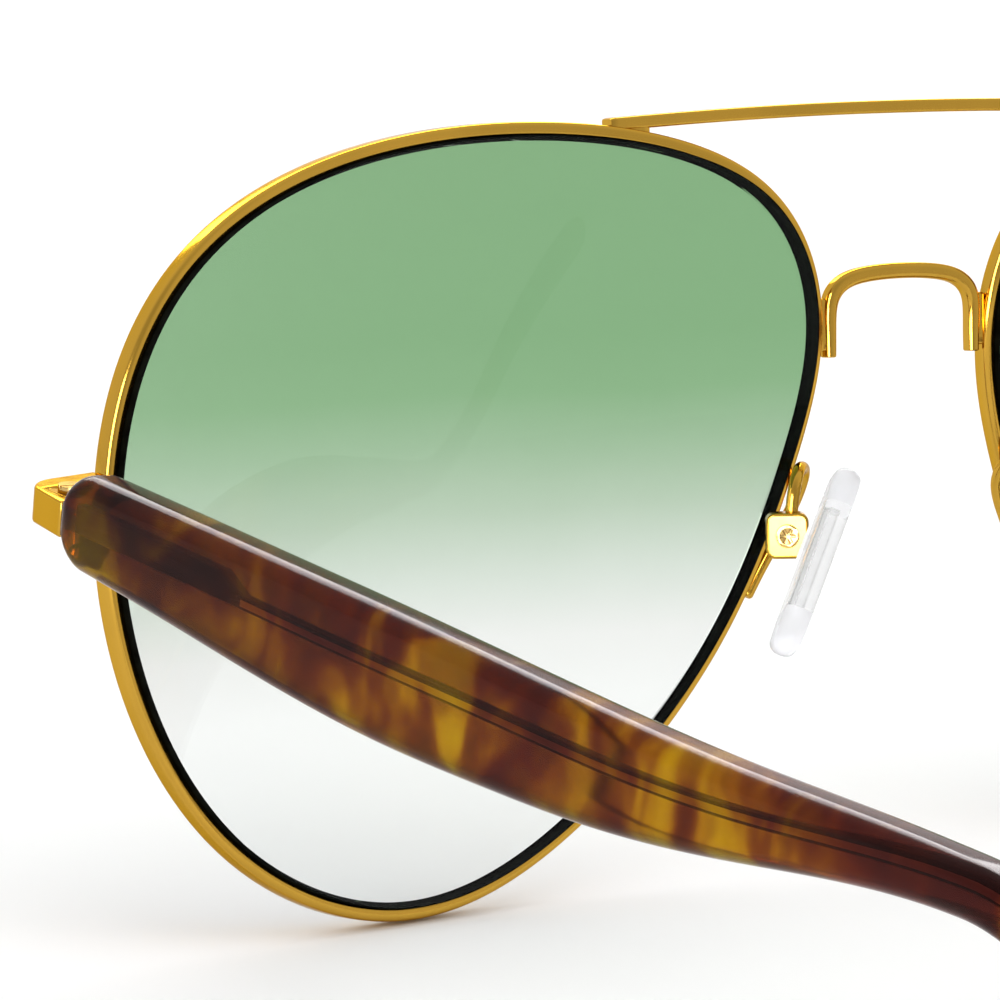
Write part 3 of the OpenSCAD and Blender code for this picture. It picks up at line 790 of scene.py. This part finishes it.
# CAD nodes that keep their mesh: material, and width of the rounding in millimetres.
SOFTENED = {
    "endpiece": (GOLD, 0.18),
    "upper_rim_lock": (GOLD, 0.1),
    "lower_rim_lock": (GOLD, 0.1),
    "front_hinge": (GOLD, 0.1),
    "temple_hinge": (GOLD, 0.1),
    "rim_lock_screw": (SCREW, 0.04),
    "hinge_screw": (SCREW, 0.04),
    "pad_screw": (SCREW, 0.04),
    "pad_insert": (PLATE, 0.06),
}
WELD_WITHIN = 0.002


def wear(obj, *materials):
    if obj.data.materials:
        obj.data.materials.clear()
    for m in materials:
        obj.data.materials.append(m)


def dress(obj, slot, node, body, *materials):
    wear(obj, *materials)
    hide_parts(node)
    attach(obj, body)
    return obj


def soften(node, material, width):
    """Modifiers weld a CAD node's split corners and round its edges."""
    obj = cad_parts[node]
    wear(obj, material)
    obj.data.shade_smooth()
    weld = obj.modifiers.new("weld", "WELD")
    weld.merge_threshold = WELD_WITHIN * MM
    flat = obj.modifiers.new("flat_faces", "DECIMATE")
    flat.decimate_type = "DISSOLVE"
    flat.angle_limit = math.radians(1)
    bevel = obj.modifiers.new("edges", "BEVEL")
    bevel.width = width * MM
    bevel.segments = 3
    bevel.limit_method = "ANGLE"
    bevel.angle_limit = math.radians(35)
    obj.modifiers.new("even_normals", "WEIGHTED_NORMAL").weight = 100


dress(bridge(), "gold_metal", "bridge", "front", GOLD)
dress(brow_bar(), "gold_metal", "brow_bar", "front", GOLD)
for side in SIDES:
    arm_body, pad_body = f"{side}_temple_arm", f"{side}_pad"
    dress(rim(side), "gold_metal", f"{side}_rim", "front", GOLD)
    dress(lens(side), "lens_tint", f"{side}_lens", "front", LENS, LENS_EDGE_SHADE)
    dress(pad_arm(side), "gold_metal", f"{side}_pad_arm", "front", GOLD)
    dress(pad_box(side), "gold_metal", f"{side}_pad_box", "front", GOLD)
    dress(temple(side), "tortoise_acetate", f"{side}_temple", arm_body, ACETATE)
    dress(temple_core(side), "core_metal", f"{side}_temple_core", arm_body, CORE, CORE_PAINTED_REFLECTION)
    pad = dress(nose_pad(side), "pad_silicone", f"{side}_nose_pad", pad_body, silicone_look(side))
    for node, (material, width) in SOFTENED.items():
        soften(f"{side}_{node}", material, width)

# ---- floor ----

FLOOR_HALF = 6
FLOOR_Z = -0.00002


def floor_plane():
    mesh = bpy.data.meshes.new("floor")
    corners = [(x * FLOOR_HALF, y * FLOOR_HALF, FLOOR_Z) for x, y in ((-1, -1), (1, -1), (1, 1), (-1, 1))]
    mesh.from_pydata(corners, [], [(0, 1, 2, 3)])
    obj = bpy.data.objects.new("floor", mesh)
    bpy.context.scene.collection.objects.link(obj)
    return obj


floor = floor_plane()
wear(floor, floor_look())

# ---- camera, set in the front's frame ----

VIEW_SIDE = math.radians(33)
VIEW_RISE = math.radians(3.5)
VIEW_ROLL = math.radians(1)
VIEW_FAR = 600
VIEW_RIGHT = -27.2
VIEW_UP = -0.08
VIEW_LENS = 323.8
VIEW_SENSOR = 36


def lean_vector(v):
    return Matrix.Rotation(TILT, 3, "X") @ Vector(v)


toward_camera = Vector((
    math.sin(VIEW_SIDE) * math.cos(VIEW_RISE),
    math.cos(VIEW_SIDE) * math.cos(VIEW_RISE),
    math.sin(VIEW_RISE)))
level_right = Vector((-math.cos(VIEW_SIDE), math.sin(VIEW_SIDE), 0))
level_up = level_right.cross(-toward_camera)
target = VIEW_RIGHT * level_right + VIEW_UP * level_up
view_right = math.cos(VIEW_ROLL) * level_right - math.sin(VIEW_ROLL) * level_up
view_up = math.sin(VIEW_ROLL) * level_right + math.cos(VIEW_ROLL) * level_up

camera_data = bpy.data.cameras.new("camera")
camera_data.lens = VIEW_LENS
camera_data.sensor_width = VIEW_SENSOR
camera_data.clip_start = 0.01
camera = bpy.data.objects.new("camera", camera_data)
bpy.context.scene.collection.objects.link(camera)
columns = Matrix([lean_vector(v) for v in (view_right, view_up, toward_camera)]).transposed().to_4x4()
eye = stood(np.array(target + VIEW_FAR * toward_camera), True)
camera.matrix_world = Matrix.Translation(eye) @ columns
bpy.context.scene.camera = camera

# ---- light, in metres and watts ----

GLASSES_AT = (0, 0, 0.02)
behind = lean_vector(toward_camera)
# Each softbox: place, aim, size, watts, and whether it only lights by reflection.
SOFTBOXES = {
    "overhead": ((0, 0, 1.3), (0, 0, 0), (1.6, 1.6), 9, False),
    "side_box": ((1.0, 0.62, 0.35), (0.05, -0.03, 0.02), (0.9, 1.0), 30, True),
    "camera_box": ((1.3 * behind.x, 1.3 * behind.y, 0.13), GLASSES_AT, (0.3, 0.22), 4.5, True),
    "rear_box": ((-0.36, -0.95, 0.58), GLASSES_AT, (0.75, 0.32), 8, True),
}

# Brightness of the studio from straight behind the glasses round to the camera's side.
WORLD_STOPS = [(0.10, 1.5), (0.17, 1.0), (0.60, 0.82), (0.85, 0.53)]


def softbox(name, at, aim, size, watts, by_reflection):
    data = bpy.data.lights.new(name, "AREA")
    data.shape = "RECTANGLE"
    data.size, data.size_y = size
    data.energy = watts
    obj = bpy.data.objects.new(name, data)
    bpy.context.scene.collection.objects.link(obj)
    obj.location = at
    obj.rotation_euler = (Vector(aim) - Vector(at)).to_track_quat("-Z", "Y").to_euler()
    obj.visible_camera = False
    obj.visible_diffuse = not by_reflection
    obj.visible_glossy = by_reflection
    obj.visible_transmission = False


def studio_world():
    world = bpy.data.worlds.new("studio")
    bpy.context.scene.world = world
    world.use_nodes = True
    nodes, links = world.node_tree.nodes, world.node_tree.links
    background = next(n for n in nodes if n.type == "BACKGROUND")
    dot = nodes.new("ShaderNodeVectorMath")
    dot.operation = "DOT_PRODUCT"
    dot.inputs[1].default_value = lean_vector(toward_camera)
    spread = nodes.new("ShaderNodeMapRange")
    spread.inputs["From Min"].default_value = -1
    ramp = nodes.new("ShaderNodeValToRGB")
    stops = ramp.color_ramp.elements
    while len(stops) < len(WORLD_STOPS):
        stops.new(1)
    for stop, (at, level) in zip(stops, WORLD_STOPS):
        stop.position = at
        stop.color = (level, level, level, 1)
    background.inputs["Strength"].default_value = 1.0
    links.new(nodes.new("ShaderNodeTexCoord").outputs["Generated"], dot.inputs[0])
    links.new(dot.outputs["Value"], spread.inputs["Value"])
    links.new(spread.outputs["Result"], ramp.inputs["Fac"])
    links.new(ramp.outputs["Color"], background.inputs["Color"])


for name, settings in SOFTBOXES.items():
    softbox(name, *settings)
studio_world()
bpy.context.scene.view_settings.view_transform = "Standard"
